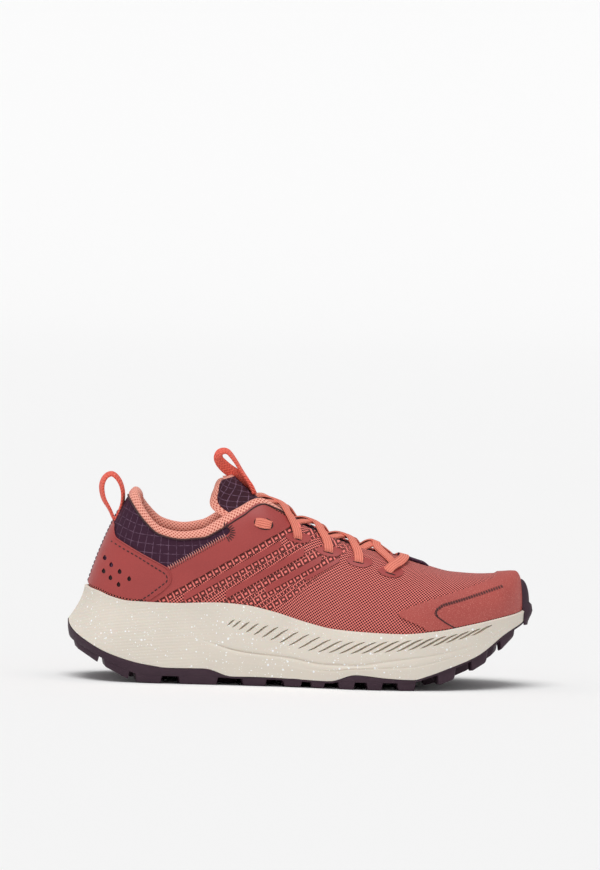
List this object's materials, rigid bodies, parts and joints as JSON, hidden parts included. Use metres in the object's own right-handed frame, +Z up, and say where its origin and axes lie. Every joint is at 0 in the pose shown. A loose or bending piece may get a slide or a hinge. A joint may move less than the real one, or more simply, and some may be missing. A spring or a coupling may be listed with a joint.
{
  "type": "trail running shoe",
  "caption": "Low trail running shoe for the right foot: lugged rubber outsole, thick grooved foam midsole, hollow mesh upper with film overlays, flat lace and two pull loops.",
  "frame": {"origin": "on the floor, in the middle of the flat lug under the heel", "axes": "+X from heel to toe, +Y to the inner (medial) side, +Z up"},
  "size_m": [0.2844, 0.1054, 0.143],
  "materials": {
    "rubber": "matte",
    "foam": "matte",
    "mesh": "matte",
    "film": "satin",
    "ripstop": "matte",
    "knit": "matte",
    "lace": "matte",
    "webbing": "matte"
  },
  "bodies": {
    "root": {"outsole": "rubber", "midsole": "foam", "insole": "knit", "upper": "mesh", "tongue": "ripstop", "toe_cap": "film", "heel_counter": "film", "quarter_lateral": "film", "quarter_medial": "film", "lace_crossing_1": "lace", "lace_crossing_2": "lace", "lace_crossing_3": "lace", "lace_crossing_4": "lace", "lace_bar": "lace", "heel_loop": "webbing", "tongue_loop": "webbing"}
  },
  "joints": []
}
